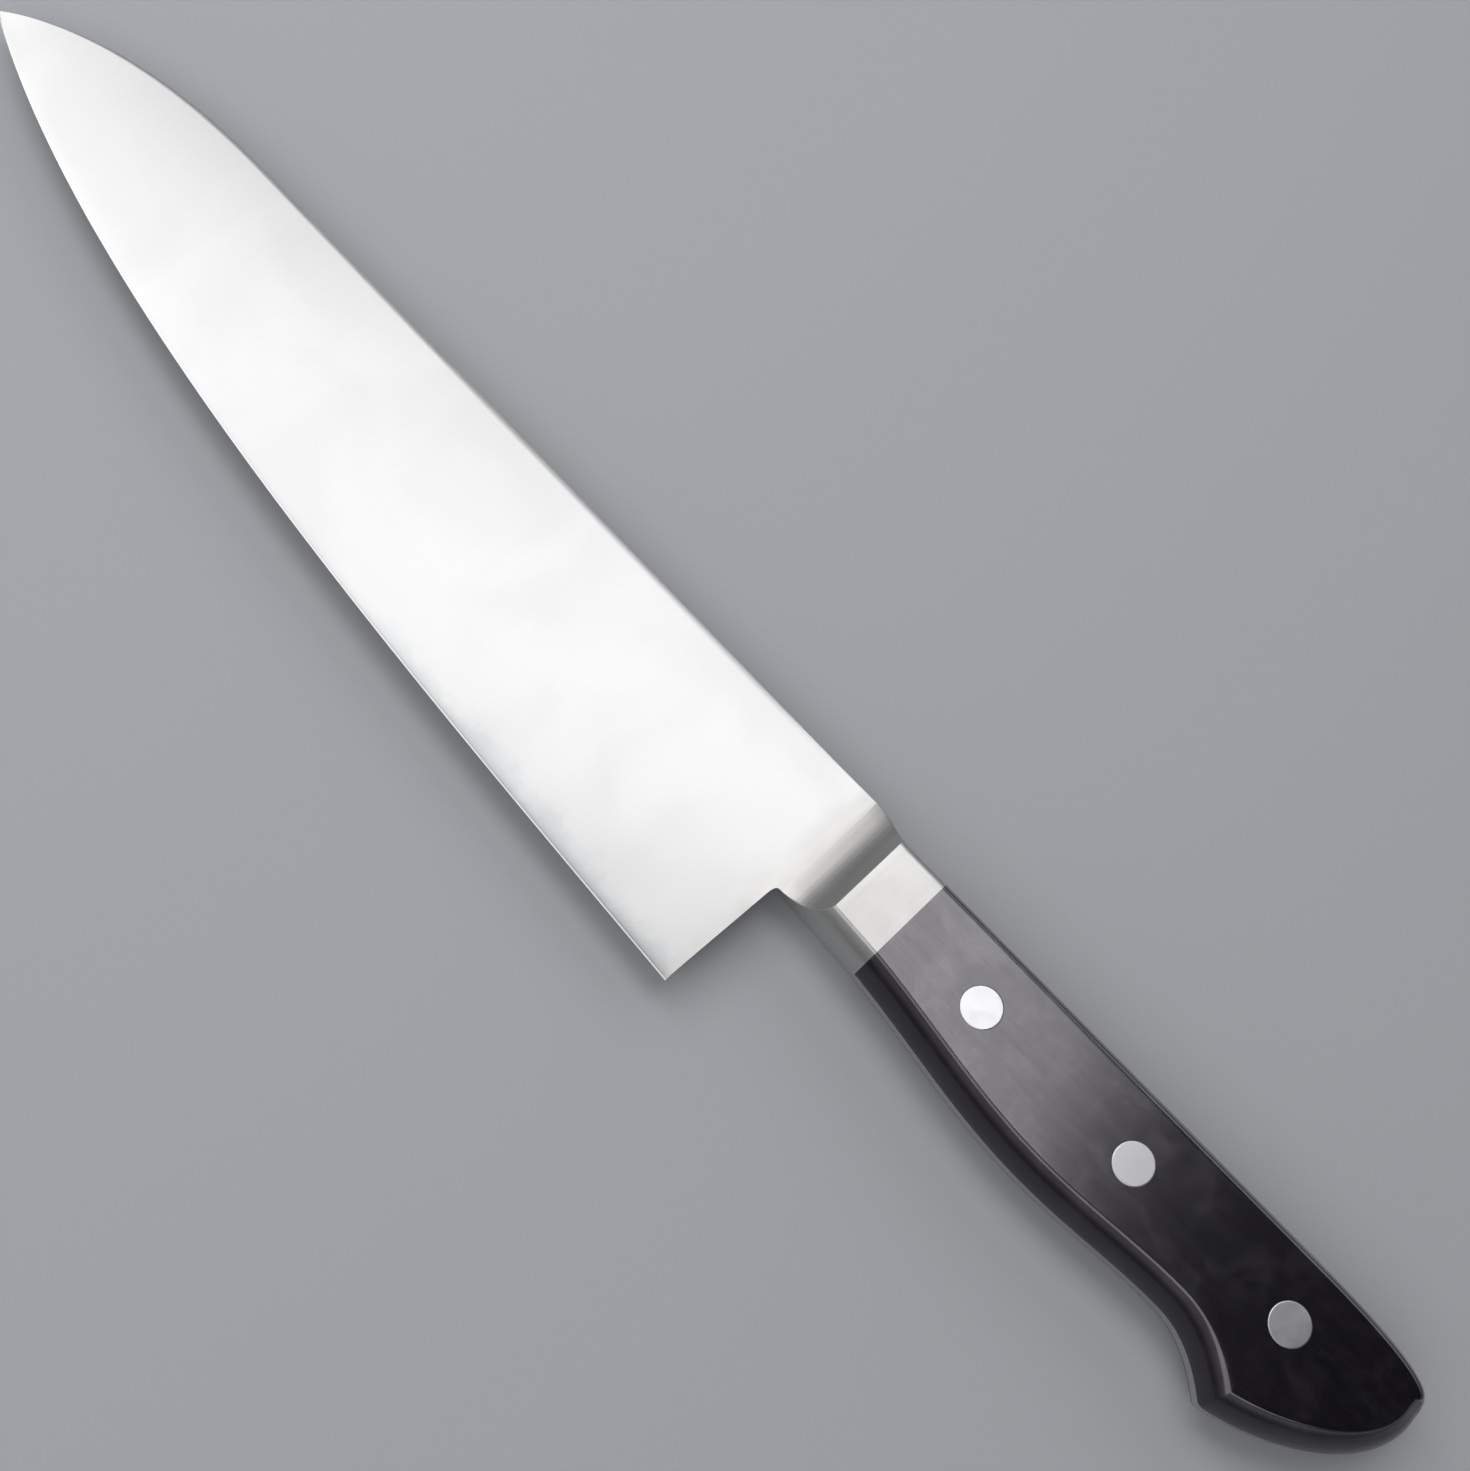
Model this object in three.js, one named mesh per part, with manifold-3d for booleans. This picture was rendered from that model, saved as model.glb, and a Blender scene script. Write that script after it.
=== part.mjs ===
import * as THREE from 'three';
import { mergeVertices } from 'three/addons/utils/BufferGeometryUtils.js';
import ManifoldModule from 'manifold-3d';

// A gyuto, a western-handled chef's knife, lying on its right side.
// Millimetres: the tip points to -X, the spine to +Y and the left face to +Z.
// Outlines are drawn with X = 0 at the front of the bolster, Y = 0 on the line of the rivets
// and Z = 0 on the middle plane of the blade.

// Blade
const bladeLength = 210; // heel to tip
const heelHeight = 46.7; // spine to edge, at the heel
const heelOverlap = 0.5; // the heel reaches this far back past the start of the neck
const spineHeight = 13.7; // above the rivets, where the spine reaches the neck
const spineRise = 1.5; // how far the spine climbs on its way forward
const tipHeight = 0.3; // above the rivets
const tipCurveLength = 54; // stretch over which the spine drops to the tip
const spineThickness = 2.2; // at the heel
const tipThickness = 0.8; // of the spine where it meets the tip
const bevelHeight = 0.8; // of the ground edge bevel
const bevelThickness = 0.5; // at the shoulder of the bevel
const edgeThickness = 0.16; // along the cutting edge
const choilLean = 1.2; // the back of the blade leans this far towards the handle

// Neck and bolster
const neckLength = 11; // of the hollow ramp in front of the bolster
const neckDepth = 8.9; // underside of the neck below the rivets
const notchRadius = 2; // where the back of the blade turns into the neck
const troughStep = 0.4; // start of the ramp below the face of the tang
const shoulderRunout = 2; // the spine has dropped to the handle this far behind the bolster front
const bolsterLength = 10;
const bolsterDepth = 9.8; // underside of the bolster's rear below the rivets

// Handle
const handleLength = 121; // bolster front to the end of the butt
const handleThickness = 14; // across the two flat side faces
const handleTop = 11.9; // above the rivets, at the bolster
const topRise = 0.4; // how far the top climbs towards the butt
const bellyDepth = 13.9; // lowest point of the grip below the rivets
const recessDepth = 11.9; // top of the finger recess below the rivets
const beakDepth = 18.3; // point of the beak below the rivets
const beakSetback = 26; // from the end of the butt
const recessLength = 14.2; // from the beak forward to the top of the finger recess
const gripLength = 31; // from the top of the recess forward to the belly
const topCurveLength = 25.5; // stretch over which the top rounds into the butt
const buttHeight = 5.5; // rearmost point of the butt above the rivets
const buttFlat = 1; // short upright stretch at the rearmost point
const faceInset = 3.5; // from the outline in to the edge of the flat side faces
const tangThickness = 2.5;

// Rivets
const firstRivetSetback = 18; // from the bolster rear
const lastRivetSetback = 25; // from the end of the butt
const rivetHeadDiameter = 7.2;
const rivetHeadThickness = 1.6;
const rivetHeadOverhang = 1.1; // of the head past the barrel
const rivetBarrelWall = 0.7;
const rivetClearance = 0.1; // around heads, barrels and pins, and short of the barrel's open end

// Fineness of the facets
const bladeSteps = 20;
const curveSteps = 6;
const crownSteps = 4;
const roundSegments = 24;

const wasm = await ManifoldModule();
wasm.setup();

const halfTang = tangThickness / 2;
const halfHandle = handleThickness / 2;
const point = (x, y) => new THREE.Vector2(x, y);

// The hollow ramp is a round trough, level with the blade in front and as thick as the handle behind.
// It rises through the face of the tang at the seam, where the bolster halves begin.

const rampStart = halfTang - troughStep;
const rampRise = halfHandle - rampStart;
const rampRadius = (neckLength ** 2 + rampRise ** 2) / (2 * rampRise);
const rampCentre = point(-neckLength, rampStart + rampRadius);
const seamX = rampCentre.x + Math.sqrt(rampRadius ** 2 - (rampCentre.y - halfTang) ** 2);

// Blade outline

const heel = point(heelOverlap - neckLength, spineHeight - heelHeight);
const tip = point(heel.x - bladeLength, tipHeight);
const spineCrest = point(tip.x + tipCurveLength, spineHeight + spineRise);
const neckTop = point(seamX, spineHeight);

const edgeDrop = tip.y - heel.y;
const edgeCurve = new THREE.CubicBezierCurve(
  tip,
  point(tip.x + 0.24 * bladeLength, tip.y - 0.73 * edgeDrop),
  point(heel.x - 0.34 * bladeLength, heel.y + 0.13 * edgeDrop),
  heel,
);
const tipCurve = new THREE.CubicBezierCurve(
  tip,
  point(tip.x + 0.22 * tipCurveLength, tip.y + 0.64 * (spineCrest.y - tip.y)),
  point(tip.x + 0.54 * tipCurveLength, spineCrest.y),
  spineCrest,
);

function heightAt(points, x) {
  const reach = THREE.MathUtils.clamp(x, points[0].x, points.at(-1).x);
  const next = Math.max(points.findIndex((entry) => entry.x >= reach), 1);
  const before = points[next - 1];
  const share = (reach - before.x) / (points[next].x - before.x);
  return THREE.MathUtils.lerp(before.y, points[next].y, share);
}

const edgePoints = edgeCurve.getPoints(200);
const spinePoints = [...tipCurve.getPoints(200), neckTop];
const edgeAt = (x) => heightAt(edgePoints, x);
const spineAt = (x) => heightAt(spinePoints, x);

function halfSpineAt(x) {
  const share = THREE.MathUtils.clamp((x - tip.x) / bladeLength, 0, 1);
  return THREE.MathUtils.lerp(tipThickness, spineThickness, share) / 2;
}

// Half the thickness of the flat-ground blade at a point above its bevel
function halfWedgeAt(x, y) {
  const shoulder = edgeAt(x) + bevelHeight;
  const share = THREE.MathUtils.clamp((y - shoulder) / (spineAt(x) - shoulder), 0, 1);
  return THREE.MathUtils.lerp(bevelThickness / 2, halfSpineAt(x), share);
}

// Handle outline, as a lower and an upper chain with the same number of points, from the neck to the butt

const seamLower = point(seamX, -neckDepth);
const bolsterLower = point(bolsterLength, -bolsterDepth);
const beak = point(handleLength - beakSetback, -beakDepth);
const recess = point(beak.x - recessLength, -recessDepth);
const belly = point(recess.x - gripLength, -bellyDepth);
const buttLower = point(handleLength, buttHeight - buttFlat / 2);
const neckFoot = point(shoulderRunout, handleTop);
const bolsterUpper = point(bolsterLength, handleTop);
const topRear = point(handleLength - topCurveLength, handleTop + topRise);
const buttUpper = point(handleLength, buttHeight + buttFlat / 2);

const lerpPoint = (from, to, x, y) => point(
  THREE.MathUtils.lerp(from.x, to.x, x),
  THREE.MathUtils.lerp(from.y, to.y, y),
);
const bezier = (from, to, first, second) => new THREE.CubicBezierCurve(
  from,
  lerpPoint(from, to, ...first),
  lerpPoint(from, to, ...second),
  to,
);
const line = (from, to) => new THREE.LineCurve(from, to);

const lowerRuns = [
  [line(seamLower, bolsterLower), curveSteps],
  [bezier(bolsterLower, belly, [0.35, 0.3], [0.65, 1]), curveSteps],
  [bezier(belly, recess, [0.39, 0], [0.68, 1]), curveSteps],
  [bezier(recess, beak, [0.45, 0], [0.79, 0.59]), curveSteps],
  [bezier(beak, buttLower, [0.5, 0.13], [1.05, 0.54]), 2 * curveSteps],
];
const upperRuns = [
  [bezier(neckTop, neckFoot, [0.4, 0.05], [0.5, 1]), curveSteps - 1],
  [line(neckFoot, bolsterUpper), 1],
  [line(bolsterUpper, topRear), 3 * curveSteps],
  [bezier(topRear, buttUpper, [0.75, 0], [1, 0.25]), 2 * curveSteps],
];

function chain(runs) {
  const points = [runs[0][0].getPoint(0)];
  for (const [curve, steps] of runs) {
    points.push(...curve.getPoints(steps).slice(1));
  }
  return points;
}

const lowerChain = chain(lowerRuns);
const upperChain = chain(upperRuns);

// Closed solids from rings of points

function geometryFrom(vertices, triangles) {
  const geometry = new THREE.BufferGeometry();
  geometry.setAttribute('position', new THREE.Float32BufferAttribute(vertices.flat(), 3));
  geometry.setIndex(triangles.flat());
  geometry.computeVertexNormals();
  return geometry;
}

function solidFrom(geometry) {
  const bare = geometry.clone();
  bare.deleteAttribute('normal');
  bare.deleteAttribute('uv');
  const merged = mergeVertices(bare, 1e-4);
  const corners = Array.from(merged.index.array);
  const triVerts = [];
  for (let i = 0; i < corners.length; i += 3) {
    const [a, b, c] = corners.slice(i, i + 3);
    if (a !== b && b !== c && c !== a) triVerts.push(a, b, c);
  }
  return new wasm.Manifold(new wasm.Mesh({
    numProp: 3,
    vertProperties: new Float32Array(merged.attributes.position.array),
    triVerts: new Uint32Array(triVerts),
  }));
}

function geometryOf(solid) {
  const mesh = solid.getMesh();
  const geometry = new THREE.BufferGeometry();
  geometry.setAttribute('position', new THREE.BufferAttribute(mesh.vertProperties, 3));
  geometry.setIndex(new THREE.BufferAttribute(mesh.triVerts, 1));
  geometry.computeVertexNormals();
  return geometry;
}

function mirrored(geometry) {
  const other = geometry.clone().scale(1, 1, -1);
  const corners = Array.from(other.index.array).reverse();
  other.setIndex(corners);
  other.computeVertexNormals();
  return other;
}

function boxBetween(xLow, xHigh) {
  const reach = 4 * heelHeight;
  const box = new THREE.BoxGeometry(xHigh - xLow, reach, reach);
  return solidFrom(box.translate((xLow + xHigh) / 2, 0, 0));
}

// A solid turned about Z from pairs of radius and height
function turned(profile) {
  const lathe = new THREE.LatheGeometry(profile.map(([radius, z]) => point(radius, z)), roundSegments);
  return lathe.rotateX(Math.PI / 2);
}

// Blade and tang

// One station across the plate: lower and upper point, and half the thickness at edge, shoulder and top
function station(lower, upper, halves) {
  const rise = Math.min(bevelHeight / lower.distanceTo(upper), 0.4);
  const shoulder = lower.clone().lerp(upper, rise);
  const left = [
    [lower.x, lower.y, halves[0]],
    [shoulder.x, shoulder.y, halves[1]],
    [upper.x, upper.y, halves[2]],
  ];
  const right = left.map(([x, y, z]) => [x, y, -z]).reverse();
  return [...left, ...right];
}

function bladeStations() {
  const stations = [];
  for (let step = 0; step <= bladeSteps; step += 1) {
    const x = tip.x + bladeLength * (step / bladeSteps) ** 1.6;
    const blunt = step === 0 ? edgeThickness / 2 : 0;
    const halves = [edgeThickness, bevelThickness, 2 * halfSpineAt(x)].map((size) => size / 2);
    halves[1] = Math.min(halves[1], halves[2]);
    stations.push(station(point(x, edgeAt(x) - blunt), point(x, spineAt(x) + blunt), halves));
  }
  return stations;
}

// The back of the blade and the rounded notch under the neck
function choilStations() {
  const corner = point(heel.x + choilLean, -neckDepth);
  const above = point(corner.x - (choilLean * notchRadius) / heelHeight, corner.y - notchRadius);
  const behind = point(Math.min(corner.x + notchRadius, (corner.x + seamX) / 2), -neckDepth);
  const notch = new THREE.QuadraticBezierCurve(above, corner, behind);
  return notch.getPoints(3).map((lower) => {
    const upper = point(lower.x, spineAt(lower.x));
    const half = halfWedgeAt(lower.x, lower.y);
    return station(lower, upper, [half, half, halfSpineAt(lower.x)]);
  });
}

function tangStations() {
  return lowerChain.map((lower, i) => station(lower, upperChain[i], [halfTang, halfTang, halfTang]));
}

function plateGeometry(stations) {
  const count = stations[0].length;
  const triangles = [];
  for (let row = 0; row + 1 < stations.length; row += 1) {
    for (let i = 0; i < count; i += 1) {
      const a = row * count + i;
      const d = row * count + ((i + 1) % count);
      triangles.push([a, a + count, d + count], [a, d + count, d]);
    }
  }
  const end = (stations.length - 1) * count;
  for (let i = 0; i + 1 < count / 2; i += 1) {
    const across = count - 1 - i;
    triangles.push([i, i + 1, across - 1], [i, across - 1, across]);
    triangles.push([end + i, end + across - 1, end + i + 1], [end + i, end + across, end + across - 1]);
  }
  return geometryFrom(stations.flat(), triangles);
}

// Crowned sides of the handle, from the tang out to the flat side face

function insetVectors(outline) {
  return outline.map((here, i) => {
    const before = outline[(i + outline.length - 1) % outline.length];
    const after = outline[(i + 1) % outline.length];
    const first = here.clone().sub(before).normalize();
    const second = after.clone().sub(here).normalize();
    const mitre = point(-first.y - second.y, first.x + second.x);
    return mitre.divideScalar(1 + first.dot(second));
  });
}

function crownGeometry() {
  const radius = (halfHandle ** 2 + faceInset ** 2) / (2 * faceInset);
  const crownInset = (z) => radius - Math.sqrt(radius ** 2 - z ** 2);
  const front = -2 * neckLength;
  const outline = [
    point(front, seamLower.y),
    ...lowerChain,
    ...upperChain.slice().reverse(),
    point(front, neckTop.y),
  ];
  const inward = insetVectors(outline);
  const firstAngle = Math.asin(halfTang / radius);
  const lastAngle = Math.asin(Math.min(halfHandle / radius, 1));
  const rings = [];
  for (let level = 0; level <= crownSteps; level += 1) {
    const angle = THREE.MathUtils.lerp(firstAngle, lastAngle, level / crownSteps);
    const z = level === crownSteps ? halfHandle : radius * Math.sin(angle);
    const inset = crownInset(level === 0 ? halfTang : z) - crownInset(halfTang);
    rings.push(outline.map((spot, i) => {
      const moved = spot.clone().addScaledVector(inward[i], inset);
      return [moved.x, moved.y, level === 0 ? halfTang : z];
    }));
  }
  const count = outline.length;
  const triangles = [];
  for (let level = 0; level < crownSteps; level += 1) {
    for (let i = 0; i < count; i += 1) {
      const a = level * count + i;
      const b = level * count + ((i + 1) % count);
      triangles.push([a, b, b + count], [a, b + count, a + count]);
    }
  }
  const flat = (ring) => ring.map(([x, y]) => point(x, y));
  const top = crownSteps * count;
  for (const [a, b, c] of THREE.ShapeUtils.triangulateShape(flat(rings[0]), [])) {
    triangles.push([a, c, b]);
  }
  for (const [a, b, c] of THREE.ShapeUtils.triangulateShape(flat(rings[crownSteps]), [])) {
    triangles.push([top + a, top + b, top + c]);
  }
  return geometryFrom(rings.flat(), triangles);
}

// Bolster side profile: the ramp, then the flat face, cut square at the rear
function rampSolid() {
  const above = 2 * halfHandle;
  const profile = new THREE.Shape();
  profile.moveTo(rampCentre.x, 0);
  profile.lineTo(rampCentre.x, rampStart);
  const finish = Math.atan2(halfHandle - rampCentre.y, -rampCentre.x);
  profile.absarc(rampCentre.x, rampCentre.y, rampRadius, -Math.PI / 2, finish, false);
  profile.lineTo(0, above);
  profile.lineTo(bolsterLength, above);
  profile.lineTo(bolsterLength, 0);
  profile.closePath();
  const depth = 4 * heelHeight;
  const prism = new THREE.ExtrudeGeometry(profile, { depth, bevelEnabled: false, curveSegments: curveSteps });
  return solidFrom(prism.rotateX(Math.PI / 2).translate(0, depth / 2, 0));
}

// Rivets and their holes

const headRadius = rivetHeadDiameter / 2;
const barrelRadius = headRadius - rivetHeadOverhang;
const boreRadius = barrelRadius - rivetBarrelWall;
const pinRadius = boreRadius - rivetClearance;
const holeRadius = barrelRadius + rivetClearance;
const seat = halfHandle - rivetHeadThickness;
const beyond = 2 * halfHandle;
const firstRivetX = bolsterLength + firstRivetSetback;
const lastRivetX = handleLength - lastRivetSetback;
const rivets = [
  { name: 'front', x: firstRivetX },
  { name: 'middle', x: (firstRivetX + lastRivetX) / 2 },
  { name: 'rear', x: lastRivetX },
];

const scaleHole = [
  [0, 0],
  [holeRadius, 0],
  [holeRadius, seat],
  [headRadius + rivetClearance, seat],
  [headRadius + rivetClearance, beyond],
  [0, beyond],
];
const tangHole = [
  [0, -beyond],
  [holeRadius, -beyond],
  [holeRadius, beyond],
  [0, beyond],
];
const maleProfile = [
  [0, -seat + rivetClearance],
  [pinRadius, -seat + rivetClearance],
  [pinRadius, seat],
  [headRadius, seat],
  [headRadius, halfHandle],
  [0, halfHandle],
];
const femaleProfile = [
  [0, -halfHandle],
  [headRadius, -halfHandle],
  [headRadius, -seat],
  [barrelRadius, -seat],
  [barrelRadius, seat - rivetClearance],
  [boreRadius, seat - rivetClearance],
  [boreRadius, -seat],
  [0, -seat],
];

function drilled(solid, profile) {
  let rest = solid;
  for (const { x } of rivets) {
    rest = rest.subtract(solidFrom(turned(profile).translate(x, 0, 0)));
  }
  return rest;
}

// Assembly

const steel = { color: 0xdcdcda, roughness: 0.25, metalness: 1 };
const brightSteel = { color: 0xe4e4e2, roughness: 0.2, metalness: 1 };
const blackWood = { color: 0x17151a, roughness: 0.4, metalness: 0 };
const body = new THREE.Group();

function addPiece(name, geometry, look, x = 0) {
  const mesh = new THREE.Mesh(geometry, new THREE.MeshStandardMaterial(look));
  mesh.name = name;
  mesh.position.x = x;
  body.add(mesh);
}

const plate = plateGeometry([...bladeStations(), ...choilStations(), ...tangStations()]);
addPiece('blade_and_tang', geometryOf(drilled(solidFrom(plate), tangHole)), steel);

const crown = solidFrom(crownGeometry());
const bolster = geometryOf(crown.intersect(rampSolid()));
addPiece('bolster_left', bolster, steel);
addPiece('bolster_right', mirrored(bolster), steel);

const rearEnd = boxBetween(bolsterLength, 2 * handleLength);
const scale = geometryOf(drilled(crown.intersect(rearEnd), scaleHole));
addPiece('scale_left', scale, blackWood);
addPiece('scale_right', mirrored(scale), blackWood);

for (const { name, x } of rivets) {
  addPiece(`rivet_${name}_male`, turned(maleProfile), brightSteel, x);
  addPiece(`rivet_${name}_female`, turned(femaleProfile), brightSteel, x);
}

const bounds = new THREE.Box3().setFromObject(body);
const centre = bounds.getCenter(new THREE.Vector3());
body.position.set(-centre.x, -centre.y, -bounds.min.z);

const knife = new THREE.Group();
knife.add(body);

export default knife;
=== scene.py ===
import math
from bisect import bisect_left

import bmesh
import bpy
from mathutils import Matrix, Vector
from mathutils.geometry import interpolate_bezier


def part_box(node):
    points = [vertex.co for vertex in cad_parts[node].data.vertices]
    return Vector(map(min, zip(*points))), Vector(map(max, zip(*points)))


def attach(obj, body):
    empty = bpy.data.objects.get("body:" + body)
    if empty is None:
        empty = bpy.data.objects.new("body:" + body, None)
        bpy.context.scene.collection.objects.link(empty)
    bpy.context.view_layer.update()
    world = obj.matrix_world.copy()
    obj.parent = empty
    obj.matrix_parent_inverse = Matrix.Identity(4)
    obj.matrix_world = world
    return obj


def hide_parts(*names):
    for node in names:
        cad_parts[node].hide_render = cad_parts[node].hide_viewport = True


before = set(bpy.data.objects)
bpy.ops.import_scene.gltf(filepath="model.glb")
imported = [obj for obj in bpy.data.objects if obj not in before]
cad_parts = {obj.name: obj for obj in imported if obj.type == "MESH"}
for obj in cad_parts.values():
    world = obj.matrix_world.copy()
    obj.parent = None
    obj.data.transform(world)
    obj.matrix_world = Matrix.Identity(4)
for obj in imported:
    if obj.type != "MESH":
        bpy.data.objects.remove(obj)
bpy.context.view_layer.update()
scene = bpy.context.scene
print("frame loaded with", len(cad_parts), "nodes")

# The knife is drawn in millimetres: x from the front of the bolster, y from the line of the rivets
# and z from the middle plane of the blade
mm = 0.001
nearness = 0.001  # a point this close to a plane lies in it
mergeGap = 0.0004  # points this close together become one
bolsterLength = 10
scaleLow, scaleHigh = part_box("scale_left")
plateLow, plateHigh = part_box("blade_and_tang")
headLow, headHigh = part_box("rivet_front_male")
home = Vector((
    scaleLow.x - bolsterLength * mm,
    (headLow.y + headHigh.y) / 2,
    (plateLow.z + plateHigh.z) / 2,
))
halfHandle = (scaleHigh.z - home.z) / mm
halfTang = (plateHigh.z - plateLow.z) / 2 / mm
handleLength = (scaleHigh.x - home.x) / mm
tipX = (plateLow.x - home.x) / mm
heelY = (plateLow.y - home.y) / mm
headRadius = (headHigh.x - headLow.x) / 2 / mm


def rivetPlace(name):
    low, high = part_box(f"rivet_{name}_male")
    return ((low.x + high.x) / 2 - home.x) / mm


rivetPlaces = {name: rivetPlace(name) for name in ("front", "middle", "rear")}


# Small helpers for outlines
def spot(x, y, z=0.0):
    return Vector((x, y, z))


def mix(low, high, share):
    return low + (high - low) * share


def ease(low, high, value):
    share = min(max((value - low) / (high - low), 0.0), 1.0)
    return share * share * (3 - 2 * share)


def straight(start, end, steps):
    return [start.lerp(end, step / steps) for step in range(steps + 1)]


def bend(start, end, pulls, steps):
    # the two handles of the curve are given as shares of the way along x and y
    handles = [spot(mix(start.x, end.x, x), mix(start.y, end.y, y)) for x, y in pulls]
    return interpolate_bezier(start, *handles, end, steps + 1)


def rounded(start, corner, end, steps):
    # a curve from start to end that cuts the corner off
    shares = [step / steps for step in range(steps + 1)]
    return [start.lerp(corner, share).lerp(corner.lerp(end, share), share) for share in shares]


def joined(*runs):
    # each run starts where the one before it ends
    points = list(runs[0])
    for run in runs[1:]:
        points += run[1:]
    return points


def heightAt(points, x):
    after = min(max(bisect_left([point.x for point in points], x), 1), len(points) - 1)
    a, b = points[after - 1], points[after]
    share = min(max((x - a.x) / (b.x - a.x), 0.0), 1.0)
    return mix(a.y, b.y, share)


# Handle outline, shared by the tang, the bolsters and the scales
handle = {
    "neckLength": 11,  # of the hollow ramp in front of the bolster
    "heelOverlap": 0.5,  # of the heel past the start of the ramp
    "neckDepth": 8.9,
    "neckTop": 13.7,
    "rampStep": 0.4,  # the ramp starts this far below the face of the tang
    "shoulderRunout": 2,
    "bolsterDepth": 9.8,
    "top": 11.9,
    "topRise": 0.4,
    "topCurveLength": 25.5,  # over which the top rounds into the butt
    "bellyDepth": 13.9,
    "gripLength": 31,  # from the belly to the top of the finger recess
    "recessDepth": 11.9,
    "recessLength": 14.2,  # from there to the beak
    "beakDepth": 18.3,
    "beakSetback": 26,  # from the end of the butt
    "beakEase": 2,  # points on each side of the beak that are rounded off
    "buttHeight": 5.5,
    "buttFlat": 1,
    "bolsterSteps": 24,  # points along the bolster's lower line
    "footSteps": 4,  # along the flat of its upper line
    "topSteps": 60,  # and along the top of the grip
}
# how far the two handles of each curve pull, and the steps that it is drawn in
handleCurves = {
    "shoulder": (((0.4, 0.05), (0.5, 1)), 20),
    "topCurve": (((0.75, 0), (1, 0.25)), 64),
    "belly": (((0.35, 0.3), (0.65, 1)), 32),
    "recess": (((0.39, 0), (0.68, 1)), 32),
    "beak": (((0.45, 0), (0.79, 0.59)), 32),
    "butt": (((0.5, 0.13), (1.05, 0.54)), 64),
}

heelX = handle["heelOverlap"] - handle["neckLength"]
# the ramp is an arc, level where it starts and as high as the handle at the front of the bolster
rampStart = halfTang - handle["rampStep"]
rampRise = halfHandle - rampStart
rampRadius = (handle["neckLength"] ** 2 + rampRise ** 2) / (2 * rampRise)
rampX = -handle["neckLength"]
rampZ = rampStart + rampRadius
seamX = rampX + math.sqrt(rampRadius ** 2 - (rampZ - halfTang) ** 2)  # it leaves the tang here
seamSlope = (seamX - rampX) / (rampZ - halfTang)


def rampHeight(x):
    return rampZ - math.sqrt(rampRadius ** 2 - (x - rampX) ** 2)


def lowerOutline():
    seam = spot(seamX, -handle["neckDepth"])
    bolsterRear = spot(bolsterLength, -handle["bolsterDepth"])
    beak = spot(handleLength - handle["beakSetback"], -handle["beakDepth"])
    recess = spot(beak.x - handle["recessLength"], -handle["recessDepth"])
    belly = spot(recess.x - handle["gripLength"], -handle["bellyDepth"])
    butt = spot(handleLength, handle["buttHeight"] - handle["buttFlat"] / 2)
    toBeak = joined(
        straight(seam, bolsterRear, handle["bolsterSteps"]),
        bend(bolsterRear, belly, *handleCurves["belly"]),
        bend(belly, recess, *handleCurves["recess"]),
        bend(recess, beak, *handleCurves["beak"]),
    )
    points = joined(toBeak, bend(beak, butt, *handleCurves["butt"]))
    reach = handle["beakEase"]
    first = len(toBeak) - 1 - reach
    last = first + 2 * reach
    points[first:last + 1] = rounded(points[first], beak, points[last], 2 * reach)
    return points


def upperOutline():
    seam = spot(seamX, handle["neckTop"])
    foot = spot(handle["shoulderRunout"], handle["top"])
    bolsterRear = spot(bolsterLength, handle["top"])
    topRear = spot(handleLength - handle["topCurveLength"], handle["top"] + handle["topRise"])
    butt = spot(handleLength, handle["buttHeight"] + handle["buttFlat"] / 2)
    return joined(
        bend(seam, foot, *handleCurves["shoulder"]),
        straight(foot, bolsterRear, handle["footSteps"]),
        straight(bolsterRear, topRear, handle["topSteps"]),
        bend(topRear, butt, *handleCurves["topCurve"]),
    )


lowerPoints = lowerOutline()
upperPoints = upperOutline()

# Rounded sides of the bolsters and scales, an arc that starts upright at the middle plane
crown = {
    "inset": 3.5,  # from there in to the flat face
    "topShare": 0.6,  # the inset along the top is this share of it
    "lowerEase": 0.35,  # easing of the face's lower edge
    "upperEase": 0.7,  # and of its upper edge, which is rubbed softer
    "easeLimit": 0.45,  # of the length of the arc
    "arcSteps": 14,
    "easeSteps": 6,
}
crownRadius = (halfHandle ** 2 + crown["inset"] ** 2) / (2 * crown["inset"])
crownStart = math.asin(halfTang / crownRadius)


def crownPoint(angle, share):
    # how far in from the outline, and how far out from the middle plane
    inset = share * crownRadius * (math.cos(crownStart) - math.cos(angle))
    return Vector((inset, crownRadius * math.sin(angle)))


def crownProfile(top, easing, share=1.0):
    # from the face of the tang up the rounded side and over the eased corner
    end = math.asin(min(top / crownRadius, 1.0))
    easing = min(easing, crown["easeLimit"] * crownRadius * (end - crownStart))
    last = end - easing / crownRadius
    steps = crown["arcSteps"]
    arc = [crownPoint(mix(crownStart, last, step / steps), share) for step in range(steps + 1)]
    corner = crownPoint(end, share)
    return joined(arc, rounded(arc[-1], corner, corner + Vector((easing, 0)), crown["easeSteps"]))


# Small helpers for materials: a new node is fed with sockets or plain values, and its outputs are returned
def feed(tree, node, entries):
    for name, value in entries.items():
        entry = node.inputs[name]
        if isinstance(value, bpy.types.NodeSocket):
            tree.links.new(value, entry)
        elif entry.type == "RGBA":
            entry.default_value = (*value, 1)
        else:
            entry.default_value = value


def newNode(tree, kind, entries, **settings):
    node = tree.nodes.new(f"ShaderNode{kind}")
    for name, value in settings.items():
        setattr(node, name, value)
    feed(tree, node, entries)
    return node.outputs


def noise(tree, coords, size, detail, rough=0.5, distortion=0.0):
    return newNode(tree, "TexNoise", {
        "Vector": coords,
        "Scale": size,
        "Detail": detail,
        "Roughness": rough,
        "Distortion": distortion,
    })["Fac"]


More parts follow.
